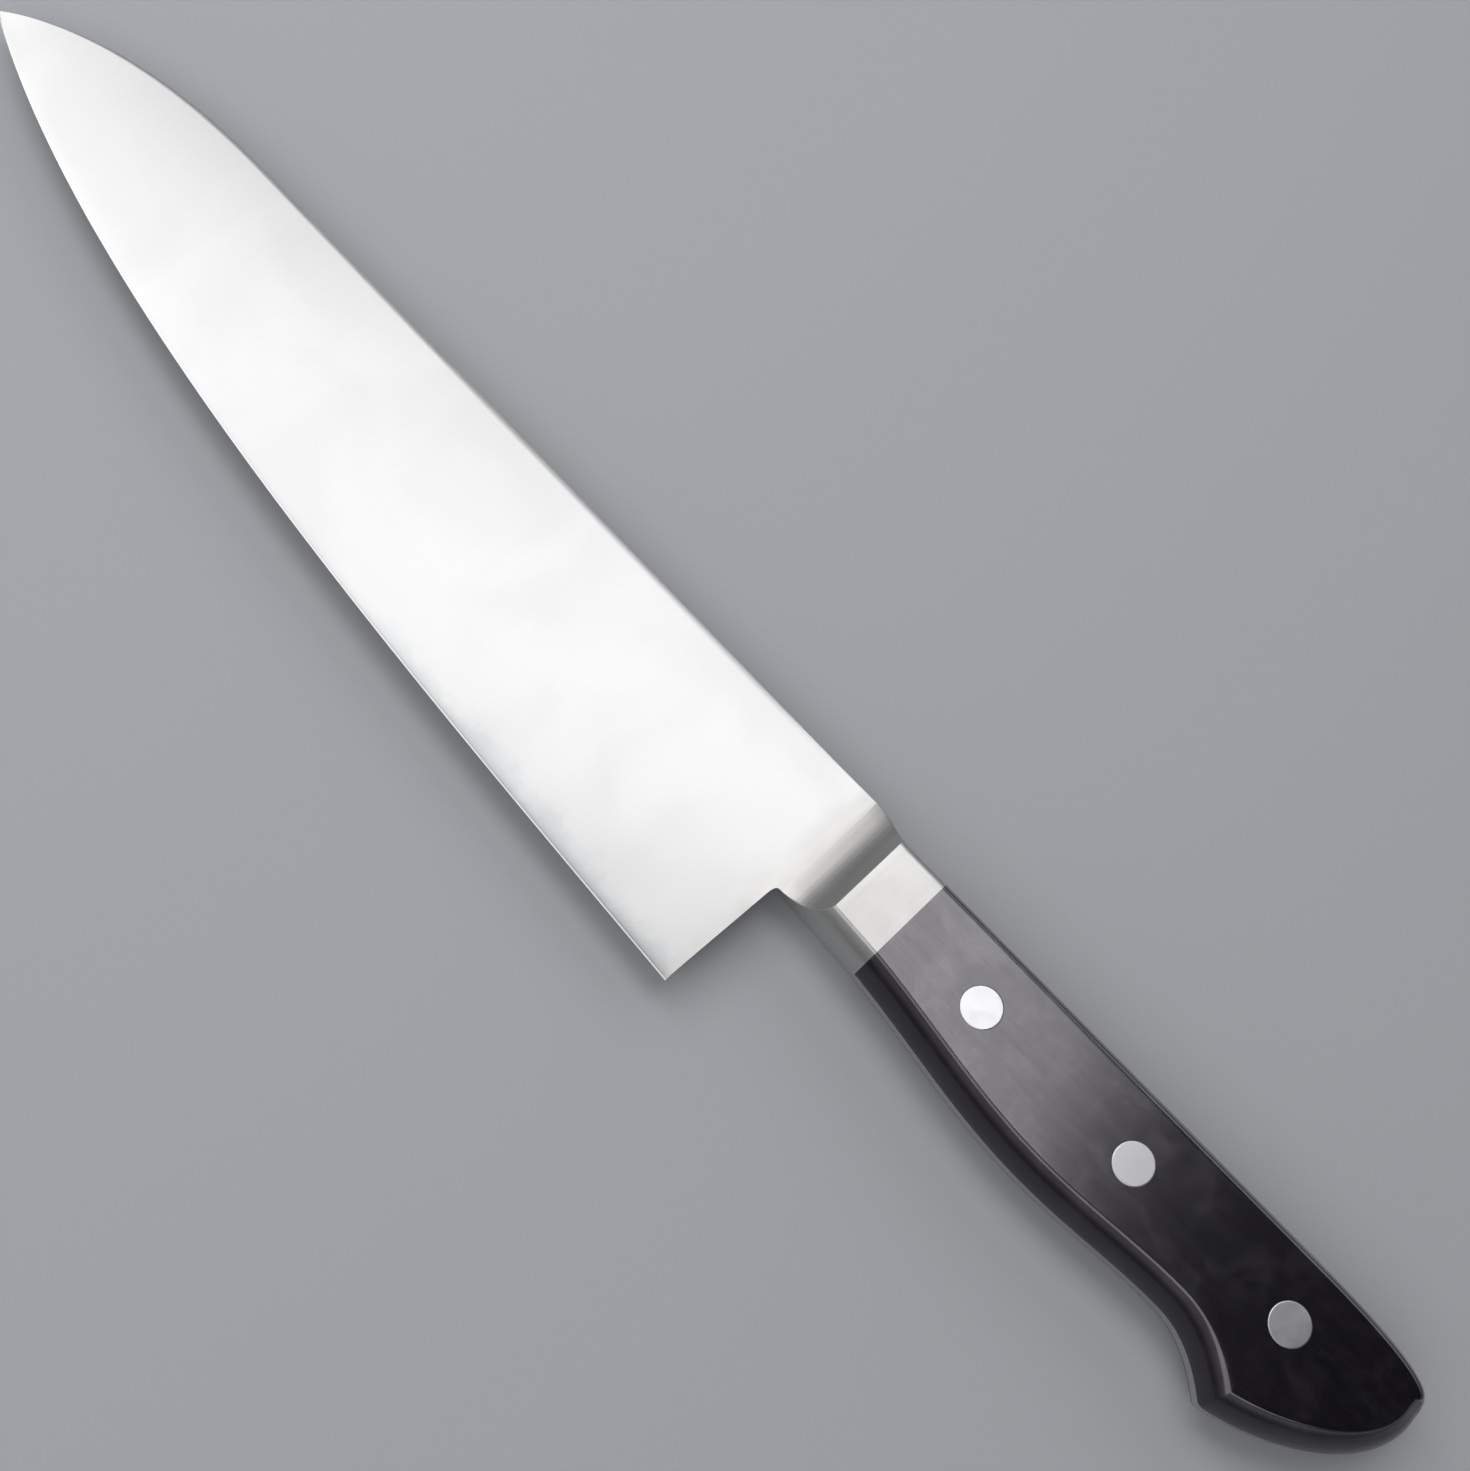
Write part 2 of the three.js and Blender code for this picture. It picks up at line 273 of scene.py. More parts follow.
def spread(tree, value, fromLow, fromHigh, toLow=0.0, toHigh=1.0, soft=False):
    return newNode(tree, "MapRange", {
        "Value": value,
        "From Min": fromLow,
        "From Max": fromHigh,
        "To Min": toLow,
        "To Max": toHigh,
    }, interpolation_type="SMOOTHSTEP" if soft else "LINEAR")["Result"]


def calc(tree, operation, first, second=0.0):
    return newNode(tree, "Math", {0: first, 1: second}, operation=operation)["Value"]


# a mix node has its values at sockets 2 and 3, and its colours at 6 and 7
def mixValue(tree, share, first, second):
    return newNode(tree, "Mix", {0: share, 2: first, 3: second})[0]


def mixColour(tree, share, first, second):
    return newNode(tree, "Mix", {0: share, 6: first, 7: second}, data_type="RGBA")[2]


def bumped(tree, height):
    # the height is in metres
    return newNode(tree, "Bump", {"Height": height, "Strength": 1.0, "Distance": 1.0})["Normal"]


def separate(tree, coords):
    return newNode(tree, "SeparateXYZ", {"Vector": coords})


def mappedCoords(tree, stretch=(1, 1, 1), turn=(0, 0, 0)):
    coords = newNode(tree, "TexCoord", {})["Object"]
    return newNode(tree, "Mapping", {"Vector": coords, "Scale": stretch, "Rotation": turn})["Vector"]


def newTree(name):
    material = bpy.data.materials.new(name)
    material.use_nodes = True
    tree = material.node_tree
    return material, tree, tree.nodes["Principled BSDF"]


def newGroup(name, values, exits):
    # a group takes a vector and some plain values
    group = bpy.data.node_groups.new(name, "ShaderNodeTree")
    group.interface.new_socket("Vector", in_out="INPUT", socket_type="NodeSocketVector")
    for entry, value in values.items():
        socket = group.interface.new_socket(entry, in_out="INPUT", socket_type="NodeSocketFloat")
        socket.default_value = value
    for leave in exits:
        group.interface.new_socket(leave, in_out="OUTPUT", socket_type="NodeSocketFloat")
    return group, group.nodes.new("NodeGroupInput").outputs, group.nodes.new("NodeGroupOutput")


def placeGroup(tree, group, **entries):
    return newNode(tree, "Group", entries, node_tree=group)


# Fine parallel lines left by a belt or by the grain, along whichever axis the coordinates are stretched
lineNoise = {
    "fine": (1.0, 2.0, 0.6),  # size, detail and roughness of the noise
    "broad": (0.16, 2.0, 0.5),
    "toneRange": (0.3, 0.7),
}


def makeLines():
    group, entry, leave = newGroup("fineLines", {"Broad": 0.35}, ["Height", "Tone"])
    fine = noise(group, entry["Vector"], *lineNoise["fine"])
    broad = noise(group, entry["Vector"], *lineNoise["broad"])
    height = mixValue(group, entry["Broad"], fine, broad)
    feed(group, leave, {"Height": height, "Tone": spread(group, height, *lineNoise["toneRange"])})
    return group


# Patches where wiping and handling have changed the shine
patchNoise = {"rough": 0.62, "distortion": 0.6}


def makeHandling():
    values = {"Patch": 60.0, "Detail": 5.0, "Low": 0.42, "High": 0.62}
    group, entry, leave = newGroup("handling", values, ["Mask"])
    patch = noise(group, entry["Vector"], entry["Patch"], entry["Detail"], **patchNoise)
    feed(group, leave, {"Mask": spread(group, patch, entry["Low"], entry["High"], soft=True)})
    return group


fineLines = makeLines()
handling = makeHandling()


def wornPatches(tree, coords, look):
    low, high = look["patchRange"]
    entries = {"Patch": look["patch"], "Detail": look["patchDetail"], "Low": low, "High": high}
    return placeGroup(tree, handling, Vector=coords, **entries)["Mask"]


# Steel
bladeSteel = {
    "light": (0.515, 0.515, 0.515),
    "dark": (0.497, 0.498, 0.502),
    "rough": (0.279, 0.321),
    "lineScale": (2600, 24, 2600),  # lines run from the spine to the edge
    "broad": 0.4,  # share of the wider lines among them
    "patch": 38,  # the greater, the smaller the wiped patches
    "patchDetail": 2,
    "patchRange": (0.38, 0.68),
    "wipeShare": 0.66,  # of the patches in the shine, the rest is left to the lines
    "depth": 0.0000008,  # of the lines, in metres
}
# the honed edge is rougher than the faces, and painted paler as a painted highlight along the edge
honedEdgeAndHighlight = dict(bladeSteel, light=(0.84, 0.84, 0.845), dark=(0.8, 0.8, 0.806), rough=(0.4, 0.48))
# ground finish of the neck and bolster; its warm tint is a painted reflection of something warm
groundFinishAndWarmReflection = dict(
    bladeSteel,
    light=(0.522, 0.513, 0.501),
    dark=(0.482, 0.475, 0.465),
    rough=(0.3, 0.37),
    lineScale=(1500, 14, 1500),
    broad=0.35,
    patch=90,
    wipeShare=0.5,
    depth=0.000024,
)
rivetSteel = dict(
    bladeSteel,
    light=(0.77, 0.768, 0.782),
    dark=(0.745, 0.743, 0.758),
    rough=(0.33, 0.38),
    lineScale=(2600, 2600, 2600),
    patch=240,
    depth=0.0000004,
)
neckBlend = {
    # across this border the colour also turns to the painted warm reflection of the ground neck
    "ends": (-13.5, -8.5),  # the blade's finish gives way to the ground neck between these places
    "wander": 2.5,  # how far the border strays to each side
    "patch": 220,
    "patchDetail": 2.0,
}
# painted shade: a darker blue-grey along the edge near the heel, fading out towards the tip
paintedEdgeShade = {
    "colour": (0.435, 0.441, 0.452),
    "lean": 0.072,  # of the straight part of the edge
    "reach": 4.5,  # how far up the face it goes
    "ends": (-96, -66),  # fades out towards the tip
    "wander": 3,
    "patch": 170,
    "patchDetail": 5.0,
    "patchRough": 0.6,
    "patchRange": (0.25, 0.75),
}


def steelFinish(tree, look):
    # colour, roughness and height of a brushed face that has been wiped
    lines = placeGroup(tree, fineLines, Vector=mappedCoords(tree, look["lineScale"]), Broad=look["broad"])
    wiped = wornPatches(tree, mappedCoords(tree), look)
    colour = mixColour(tree, lines["Tone"], look["dark"], look["light"])
    rough = spread(tree, mixValue(tree, look["wipeShare"], lines["Tone"], wiped), 0.0, 1.0, *look["rough"])
    height = calc(tree, "MULTIPLY", lines["Height"], look["depth"])
    return colour, rough, height


def neckMask(tree):
    coords = mappedCoords(tree)
    patch = noise(tree, coords, neckBlend["patch"], neckBlend["patchDetail"])
    wander = neckBlend["wander"] * mm
    place = calc(tree, "ADD", separate(tree, coords)["X"], spread(tree, patch, 0.0, 1.0, -wander, wander))
    return spread(tree, place, *(home.x + x * mm for x in neckBlend["ends"]), soft=True)


def paintedEdgeShadeMask(tree):
    # painted shade: an uneven blue-grey darkening along the edge near the heel, in coordinates that lean
    # with it
    lean = math.atan(paintedEdgeShade["lean"])
    coords = mappedCoords(tree, turn=(0, 0, lean))
    place = separate(tree, coords)
    patch = noise(tree, coords, paintedEdgeShade["patch"], paintedEdgeShade["patchDetail"], paintedEdgeShade["patchRough"])
    wander = paintedEdgeShade["wander"] * mm
    above = calc(tree, "ADD", place["Y"], spread(tree, patch, *paintedEdgeShade["patchRange"], -wander, wander))
    heel = home.xy + Vector((heelX, heelY)) * mm
    level = heel.x * math.sin(lean) + heel.y * math.cos(lean)
    low = spread(tree, above, level, level + paintedEdgeShade["reach"] * mm, 1.0, 0.0, soft=True)
    along = spread(tree, place["X"], *(home.x + x * mm for x in paintedEdgeShade["ends"]), soft=True)
    return calc(tree, "MULTIPLY", low, along)


def bladeFinish(tree, look, neckLook):
    # painted shade along the edge near the heel, and a ground finish on the neck and bolster whose warm tint
    # is a painted reflection
    colour, rough, height = steelFinish(tree, look)
    # painted shade along the edge near the heel
    colour = mixColour(tree, paintedEdgeShadeMask(tree), colour, paintedEdgeShade["colour"])
    share = neckMask(tree)
    # the neck's finish, with its warm tint as a painted reflection
    neckColour, neckRough, neckHeight = steelFinish(tree, neckLook)
    return (
        mixColour(tree, share, colour, neckColour),
        mixValue(tree, share, rough, neckRough),
        mixValue(tree, share, height, neckHeight),
    )


def makeSteel(name, finish, *looks):
    material, tree, shader = newTree(name)
    colour, rough, height = finish(tree, *looks)
    feed(tree, shader, {
        "Metallic": 1.0,
        "Base Color": colour,
        "Roughness": rough,
        "Normal": bumped(tree, height),
    })
    return material


# Black resin-filled wood
blackWood = {
    "dark": (0.003, 0.0026, 0.003),
    "light": (0.0068, 0.0052, 0.006),
    "scuff": (0.015, 0.0132, 0.0145),
    "scuffShare": 0.45,
    "rough": (0.16, 0.25),
    "wearShare": 0.6,  # of the wear in the roughness, the rest is left to the grain
    "ior": 1.5,
    "specular": 0.7,
    "tint": (0.94, 0.84, 1.0),
    "coatIor": 1.92,
    "coatRough": 0.19,
    "coat": (0.55, 1.0),  # the faces are buffed unevenly
    "coatRange": (0.1, 0.8),
    "buffed": (5.6, 6.95),  # the rounded sides are dull below the first height
    "sideCoat": 0.12,
    "grainScale": (70, 2600, 2600),  # grain runs along the handle
    "grainBroad": 0.5,
    "grainShine": 0.3,  # how much the grain shows in the polish
    "streakScale": (160, 620, 620),  # rubbed streaks, a little askew to it
    "streakTurn": (0, 0, 0.35),
    "streakBroad": 0.55,
    "smearShare": 0.5,  # of the wear in the smears, the rest is left to the streaks
    "patch": 150,
    "patchDetail": 4,
    "patchRange": (0.44, 0.7),
    "depth": 0.000006,
}


def woodPolish(tree, look, coords, grain, worn):
    # smears in the polish of the flat faces, which runs out on the rounded sides
    turned = mappedCoords(tree, look["streakScale"], look["streakTurn"])
    streaks = placeGroup(tree, fineLines, Vector=turned, Broad=look["streakBroad"])["Tone"]
    smears = mixValue(tree, look["smearShare"], streaks, worn)
    lined = mixValue(tree, look["grainShine"], smears, grain)
    shine = spread(tree, lined, *look["coatRange"], *look["coat"])
    out = calc(tree, "ABSOLUTE", calc(tree, "SUBTRACT", separate(tree, coords)["Z"], home.z))
    buffed = spread(tree, out, *(height * mm for height in look["buffed"]), look["sideCoat"], 1.0, soft=True)
    return calc(tree, "MULTIPLY", shine, buffed)


def makeWood(name, look):
    material, tree, shader = newTree(name)
    coords = mappedCoords(tree)
    stretched = mappedCoords(tree, look["grainScale"])
    grain = placeGroup(tree, fineLines, Vector=stretched, Broad=look["grainBroad"])
    worn = wornPatches(tree, coords, look)
    # faint brown grain with paler scuffs
    plain = mixColour(tree, grain["Tone"], look["dark"], look["light"])
    scuffs = calc(tree, "MULTIPLY", worn, look["scuffShare"])
    rubbed = mixValue(tree, look["wearShare"], grain["Tone"], worn)
    feed(tree, shader, {
        "Base Color": mixColour(tree, scuffs, plain, look["scuff"]),
        "Roughness": spread(tree, rubbed, 0.0, 1.0, *look["rough"]),
        "Normal": bumped(tree, calc(tree, "MULTIPLY", grain["Height"], look["depth"])),
        "Coat Weight": woodPolish(tree, look, coords, grain["Tone"], worn),
        "Coat Roughness": look["coatRough"],
        "Coat IOR": look["coatIor"],
        "IOR": look["ior"],
        "Specular IOR Level": look["specular"],
        "Specular Tint": look["tint"],
    })
    return material


bladeMaterial = makeSteel("satinBladeSteel", bladeFinish, bladeSteel, groundFinishAndWarmReflection)
honedEdgeAndHighlightMaterial = makeSteel("honedEdgeSteelAndHighlight", steelFinish, honedEdgeAndHighlight)
rivetMaterial = makeSteel("rivetSteel", steelFinish, rivetSteel)
woodMaterial = makeWood("blackResinWood", blackWood)
print("materials made")


# Small helpers for meshes
def merge(bm):
    bmesh.ops.remove_doubles(bm, verts=bm.verts, dist=mergeGap)


def clean(bm):
    merge(bm)
    bmesh.ops.dissolve_degenerate(bm, edges=bm.edges, dist=mergeGap)


def fill(bm, edges, normal):
    bmesh.ops.triangle_fill(bm, use_beauty=True, edges=edges, normal=normal)


def openEdges(bm):
    return [edge for edge in bm.edges if edge.is_boundary]


def edgesAt(edges, axis, place):
    return [e for e in edges if all(abs(v.co[axis] - place) < nearness for v in e.verts)]


def gridSheet(columns, rows, place):
    # a grid whose points are moved to where each column and row belongs, or dropped
    bm = bmesh.new()
    bmesh.ops.create_grid(bm, x_segments=columns - 1, y_segments=rows - 1, size=1)
    rowLayer = bm.verts.layers.int.new("row")
    dropped = []
    for vert in bm.verts:
        column = round((vert.co.x + 1) / 2 * (columns - 1))
        row = round((vert.co.y + 1) / 2 * (rows - 1))
        vert[rowLayer] = row
        point = place(column, row)
        if point is None:
            dropped.append(vert)
        else:
            vert.co = point
    bmesh.ops.delete(bm, geom=dropped, context="VERTS")
    return bm


def chain(bm, points, closed=False):
    verts = [bm.verts.new(point) for point in points]
    pairs = list(zip(verts, verts[1:]))
    if closed:
        pairs.append((verts[-1], verts[0]))
    return verts, [bm.edges.new(pair) for pair in pairs]


def ring(bm, x, z, radius, steps):
    place = Matrix.Translation((x, 0, z))
    verts = bmesh.ops.create_circle(bm, segments=steps, radius=radius, matrix=place)["verts"]
    return list(dict.fromkeys(edge for vert in verts for edge in vert.link_edges))


def pulledTo(bm, edges, shift, *details):
    # extrudes open edges and moves the new points with the function given
    made = bmesh.ops.extrude_edge_only(bm, edges=edges)["geom"]
    for vert in (item for item in made if isinstance(item, bmesh.types.BMVert)):
        vert.co = shift(vert, *details)
    return [item for item in made if isinstance(item, bmesh.types.BMEdge) and item.is_boundary]


def addPiece(bm, name, node, slot, sharpAngle, *materials):
    # a finished bmesh becomes a piece that rides on the knife
    clean(bm)
    bmesh.ops.recalc_face_normals(bm, faces=bm.faces)
    bm.transform(Matrix.Translation(home) @ Matrix.Scale(mm, 4))
    mesh = bpy.data.meshes.new(name)
    bm.to_mesh(mesh)
    bm.free()
    mesh.shade_smooth()
    mesh.set_sharp_from_angle(angle=math.radians(sharpAngle))
    for material in materials:
        mesh.materials.append(material)
    piece = bpy.data.objects.new(name, mesh)
    scene.collection.objects.link(piece)
    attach(piece, "root")
    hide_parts(node)
    print(name, "has", len(mesh.polygons), "faces")


# Rivets
rivet = {
    "headDepth": 1.6,
    "overhang": 1.1,  # of the head past the barrel
    "wall": 0.7,  # of the barrel
    "pinGap": 0.1,  # round the pin in the barrel
    "endGap": 0.1,  # between the end of the pin or barrel and the other head's seat
    "holeGap": 0.03,  # round the heads and barrels
    "rim": 0.14,  # rounded rim of the head
    "rimDrop": 0.06,
    "rimSteps": 5,
    "steps": 96,
    "sharpAngle": 40,
}
barrelRadius = headRadius - rivet["overhang"]
boreRadius = barrelRadius - rivet["wall"]
pinRadius = boreRadius - rivet["pinGap"]
holeRadius = barrelRadius + rivet["holeGap"]
rivetSeat = halfHandle - rivet["headDepth"]
rivetEnd = rivet["endGap"] - rivetSeat
# what each half has below its head, as radius and height
stems = {
    "male": [(pinRadius, rivetSeat), (pinRadius, rivetEnd), (0, rivetEnd)],
    "female": [
        (barrelRadius, rivetSeat),
        (barrelRadius, rivetEnd),
        (boreRadius, rivetEnd),
        (boreRadius, rivetSeat),
        (0, rivetSeat),
    ],
}


def headProfile():
    # from the middle of the head over its rounded rim to the seat
    rim, drop, steps = rivet["rim"], rivet["rimDrop"], rivet["rimSteps"]
    flat = headRadius - rim
    profile = [(0, halfHandle), (flat - rim, halfHandle), (flat, halfHandle)]
    for step in range(1, steps + 1):
        turn = math.pi / 2 * step / steps
        profile.append((flat + rim * math.sin(turn), halfHandle - drop * (1 - math.cos(turn))))
    return profile + [(headRadius, rivetSeat)]


def makeRivet(name, part, side):
    bm = bmesh.new()
    verts, edges = chain(bm, [spot(radius, 0, z * side) for radius, z in headProfile() + stems[part]])
    bmesh.ops.spin(bm, geom=verts + edges, cent=(0, 0, 0), axis=(0, 0, 1), angle=2 * math.pi,
                   steps=rivet["steps"], use_merge=True)
    bmesh.ops.translate(bm, verts=bm.verts, vec=(rivetPlaces[name], 0, 0))
    pieceName = f"{name}Rivet{part.title()}"
    addPiece(bm, pieceName, f"rivet_{name}_{part}", "rivet_steel", rivet["sharpAngle"], rivetMaterial)


# Blade and tang
blade = {
    "spineRise": 1.5,
    "tipY": 0.3,
    "tipCurve": 54,
    "spinePulls": ((0.22, 0.64), (0.54, 1)),
    "edgePulls": ((0.24, 0.73), (0.66, 0.87)),
    "outlineSteps": 400,
    "heelHalf": 1.1,  # half the thickness of the spine at the heel
    "tipHalf": 0.4,
    "tipTaper": 5,  # the last stretch of height over which the sides close to a point
    "taperPower": 0.6,
    "bevelHeight": 2.2,  # the face rolls in over this height
    "bevelHalf": 0.125,
    "hone": 0.23,  # height of the fine bevel at the very edge
    "honeHalf": 0.05,
    "convex": 0.05,  # swelling of the ground faces
    "spineEase": 0.18,
    "spineFade": 30,  # the easing runs out over this length before the seam of the bolster
    "choilLean": 1.2,
    "notchRadius": 2,
    "notchReach": 6.5,  # columns this far before the heel start to bend round the notch
    "neckFade": 9,  # the swelling of the neck fades out over this depth below it
    "columns": 100,
    "tipCrowding": 1.5,  # draws the columns together at the tip
    "heelStretch": 8,  # evenly spaced columns before the heel
    "heelColumns": 24,
    "neckColumns": 5,
    "bevelRows": 6,
    "lowerRows": 16,  # from the bevel to the notch
    "notchRows": 8,
    "upperRows": 18,  # from the notch to the spine
    "spineRows": 3,
    "holeSteps": 48,
    "sharpAngle": 28,
}
# towards the tip, sizes are limited to these shares of the height or thickness there
tipLimits = {"bevelHeight": 0.3, "bevelHalf": 0.7, "hone": 0.15, "honeHalf": 0.3, "spineEase": 0.2}

bladeLength = heelX - tipX
neckTop = handle["neckTop"]
neckY = -handle["neckDepth"]
tipPoint = spot(tipX, blade["tipY"])
crest = spot(tipX + blade["tipCurve"], neckTop + blade["spineRise"])
edgePoints = bend(tipPoint, spot(heelX, heelY), blade["edgePulls"], blade["outlineSteps"])
spinePoints = bend(tipPoint, crest, blade["spinePulls"], blade["outlineSteps"]) + [spot(seamX, neckTop)]


def limited(name, space):
    return min(blade[name], tipLimits[name] * space)


def bladeSides(x):
    # heights of the edge and the spine, and half the thickness at the spine
    edge, spine = heightAt(edgePoints, x), heightAt(spinePoints, x)
    half = mix(blade["tipHalf"], blade["heelHalf"], (x - tipX) / bladeLength)
    half *= min((spine - edge) / blade["tipTaper"], 1) ** blade["taperPower"]
    return edge, spine, half


def wedgeHalf(share, half, shoulder):
    # half the thickness part of the way from the bevel to the spine
    swell = blade["convex"] * 4 * share * (1 - share) * half
    return mix(shoulder, half, share) + swell


def neckHalf(x, y, half):
    # the face leaves the wedge in a curve that reaches the tang with the slope of the ramp
    run = 2 * (halfTang - half) / seamSlope
    past = max(x - (seamX - run), 0)
    return half + seamSlope * past * past / (2 * run) * ease(neckY - blade["neckFade"], neckY, y)


def backOutline():
    # up the back of the blade from the bevel, round the notch and on to the eased spine
    lean = blade["choilLean"] / (neckY - heelY)
    radius = blade["notchRadius"]
    corner = spot(heelX + blade["choilLean"], neckY)
    notchStart = corner - spot(lean * radius, radius)
    notchEnd = spot((corner.x + seamX) / 2, neckY)
    shoulder = spot(heelX + lean * blade["bevelHeight"], heelY + blade["bevelHeight"])
    top = spot(notchEnd.x, neckTop - blade["spineEase"])
    return joined(
        straight(shoulder, notchStart, blade["lowerRows"]),
        rounded(notchStart, corner, notchEnd, blade["notchRows"]),
        straight(notchEnd, top, blade["upperRows"]),
    )


backPoints = backOutline()
faceHeight = backPoints[-1].y - backPoints[0].y
faceShares = [(point.y - backPoints[0].y) / faceHeight for point in backPoints]
notchRow = blade["bevelRows"] + blade["lowerRows"] + blade["notchRows"]
bladeRows = blade["bevelRows"] + len(backPoints) + blade["spineRows"] + 1


def columnPlaces():
    count = blade["columns"]
    heelStart = heelX - blade["heelStretch"]
    front = [mix(tipX, heelStart, (step / count) ** blade["tipCrowding"]) for step in range(count)]
    heel = straight(spot(heelStart, 0), spot(heelX, 0), blade["heelColumns"])
    neck = straight(spot(backPoints[-1].x, 0), spot(seamX, 0), blade["neckColumns"])[1:]
    return front + [point.x for point in heel + neck]


bladeColumns = columnPlaces()
heelColumn = blade["columns"] + blade["heelColumns"]


def bevelPoint(row, edge, bevel, shoulder, slope):
    # from the fine bevel in a curve that meets the slope of the face
    hone = limited("hone", bevel)
    low = limited("honeHalf", shoulder)
    rise = slope * (bevel - hone)
    way = (row - 1) / (blade["bevelRows"] - 1)
    half = low + way * (2 * (shoulder - low) - rise) + way * way * (rise - shoulder + low)
    return edge + mix(hone, bevel, way), half


def bladePoint(column, row):
    x = bladeColumns[column]
    onNeck = column > heelColumn
    if onNeck and row < notchRow:
        return None
    edge, spine, half = bladeSides(min(x, heelX))
    easing = limited("spineEase", spine - edge)
    bevel = limited("bevelHeight", spine - edge)
    shoulder = limited("bevelHalf", half)
    bottom, top = edge + bevel, spine - easing
    face = min(max(row - blade["bevelRows"], 0), len(backPoints) - 1)
    lean = ease(heelX - blade["notchReach"], heelX, x)
    across = x if onNeck else x + lean * (backPoints[face].x - heelX)
    if row == 0:
        return spot(across, edge)
    if row < blade["bevelRows"]:
        return spot(across, *bevelPoint(row, edge, bevel, shoulder, (half - shoulder) / (top - bottom)))
    y = mix(bottom, top, faceShares[face])
    z = neckHalf(across, y, wedgeHalf(faceShares[face], half, shoulder))
    over = row - blade["bevelRows"] - len(backPoints) + 1  # rows past the face turn over the eased spine
    if over <= 0:
        return spot(across, y, z)
    if over > blade["spineRows"]:
        return spot(across, spine)
    turn = math.pi / 2 * over / blade["spineRows"]
    easing *= 1 - ease(seamX - blade["spineFade"], seamX, across)
    return spot(across, mix(y, spine, math.sin(turn)), z - easing * (1 - math.cos(turn)))


def addTang(bm):
    # a plate between the end of the neck and the outline of the handle
    ends = [v for v in bm.verts if abs(v.co.x - seamX) < nearness and abs(v.co.z - halfTang) < nearness]
    ends.sort(key=lambda vert: vert.co.y)
    rim = [bm.edges.get(pair) for pair in zip(ends, ends[1:])]
    for edge in rim:
        edge.smooth = False
    around = lowerPoints[1:] + upperPoints[:0:-1]
    verts, edges = chain(bm, [spot(p.x, p.y, halfTang) for p in around])
    edges += [bm.edges.new((ends[0], verts[0])), bm.edges.new((verts[-1], ends[-1]))]
    for x in rivetPlaces.values():
        edges += ring(bm, x, halfTang, holeRadius, blade["holeSteps"])
    fill(bm, rim + edges, (0, 0, 1))


def makeBlade():
    bm = gridSheet(len(bladeColumns), bladeRows, bladePoint)
    rowLayer = bm.verts.layers.int["row"]
    # the faces between the first two rows are the fine bevel, which takes the rougher honed steel painted
    # paler as a painted highlight
    for face in bm.faces:
        face.material_index = 1 if all(vert[rowLayer] <= 1 for vert in face.verts) else 0
    merge(bm)
    addTang(bm)
    # walls down to the middle plane, then the other side
    rims = [e for e in openEdges(bm) if max(v.co.z for v in e.verts) > mergeGap]
    pulledTo(bm, rims, lambda vert: spot(vert.co.x, vert.co.y))
    clean(bm)
    everything = bm.verts[:] + bm.edges[:] + bm.faces[:]
    bmesh.ops.mirror(bm, geom=everything, matrix=Matrix.Identity(4), merge_dist=mergeGap, axis="Z")
    materials = (bladeMaterial, honedEdgeAndHighlightMaterial)
    addPiece(bm, "bladeAndTang", "blade_and_tang", "blade_steel", blade["sharpAngle"], *materials)


# Bolsters
bolster = {
    "frontEase": 0.1,  # of the crisp edge between ramp and flat face
    "lowerEase": crown["lowerEase"],
    "upperEase": 0.5,
    "rampColumns": 44,
    "frontSteps": 5,
    "flatColumns": 10,
    "faceRows": 8,
    "sharpAngle": 30,
}


def bolsterColumns():
    # places along x with the height of the face there
    easing = bolster["frontEase"]
    across = straight(spot(seamX, 0), spot(-easing, 0), bolster["rampColumns"])
    ramp = [Vector((point.x, max(rampHeight(point.x), halfTang))) for point in across]
    corner, flatStart, rear = (Vector((x, halfHandle)) for x in (0, easing, bolsterLength))
    return joined(
        ramp,
        rounded(ramp[-1], corner, flatStart, bolster["frontSteps"]),
        straight(flatStart, rear, bolster["flatColumns"]),
    )


def bolsterSection(x, top):
    # from the lower edge over the flat face to the upper edge
    low, high = heightAt(lowerPoints, x), heightAt(upperPoints, x)
    lowerSide = crownProfile(top, bolster["lowerEase"])
    upperSide = crownProfile(top, bolster["upperEase"], crown["topShare"])
    below = [spot(x, low + inset, z) for inset, z in lowerSide]
    above = [spot(x, high - inset, z) for inset, z in upperSide]
    return below + straight(below[-1], above[-1], bolster["faceRows"])[1:-1] + above[::-1]


def makeBolster(name, side):
    sections = [bolsterSection(x, top) for x, top in bolsterColumns()]
    bm = gridSheet(len(sections), len(sections[0]), lambda column, row: sections[column][row])
    merge(bm)
    # the rear and the underside are filled along the edge that they share
    rearVerts = [v for v in bm.verts if abs(v.co.x - bolsterLength) < nearness]
    shared = bm.edges.new([v for v in rearVerts if abs(v.co.z - halfTang) < nearness])
    rims = openEdges(bm)
    rear = edgesAt(rims, 0, bolsterLength)
    fill(bm, rear + [shared], (1, 0, 0))
    fill(bm, [edge for edge in rims if edge not in rear] + [shared], (0, 0, -1))
    bmesh.ops.scale(bm, vec=(1, 1, side), verts=bm.verts)
    addPiece(bm, f"{name}Bolster", f"bolster_{name}", "bolster_steel", bolster["sharpAngle"], bladeMaterial)


# Scales
scale = {
    "lowerEase": crown["lowerEase"],
    "upperEase": crown["upperEase"],
    "recessEase": 0.9,  # the edge beside the beak is rubbed rounder
    "topTurn": (0.1, 0.95),  # the upper easing comes in as a side turns up between these shares
    "recessTurn": (0.2, 0.85),  # and the recess easing as it turns forward
    "flatRim": 0.4,  # narrow flat ring inside the eased edge
    "pathReach": 6,
    "pathStep": 0.05,
    "leastSpace": 0.04,  # points that come this close, as a share of their old spacing, go on as one
    "sharpLimit": 0.2,  # keeps a sharp corner from shooting in
    "holeEase": 0.04,
    "sharpAngle": 34,
}


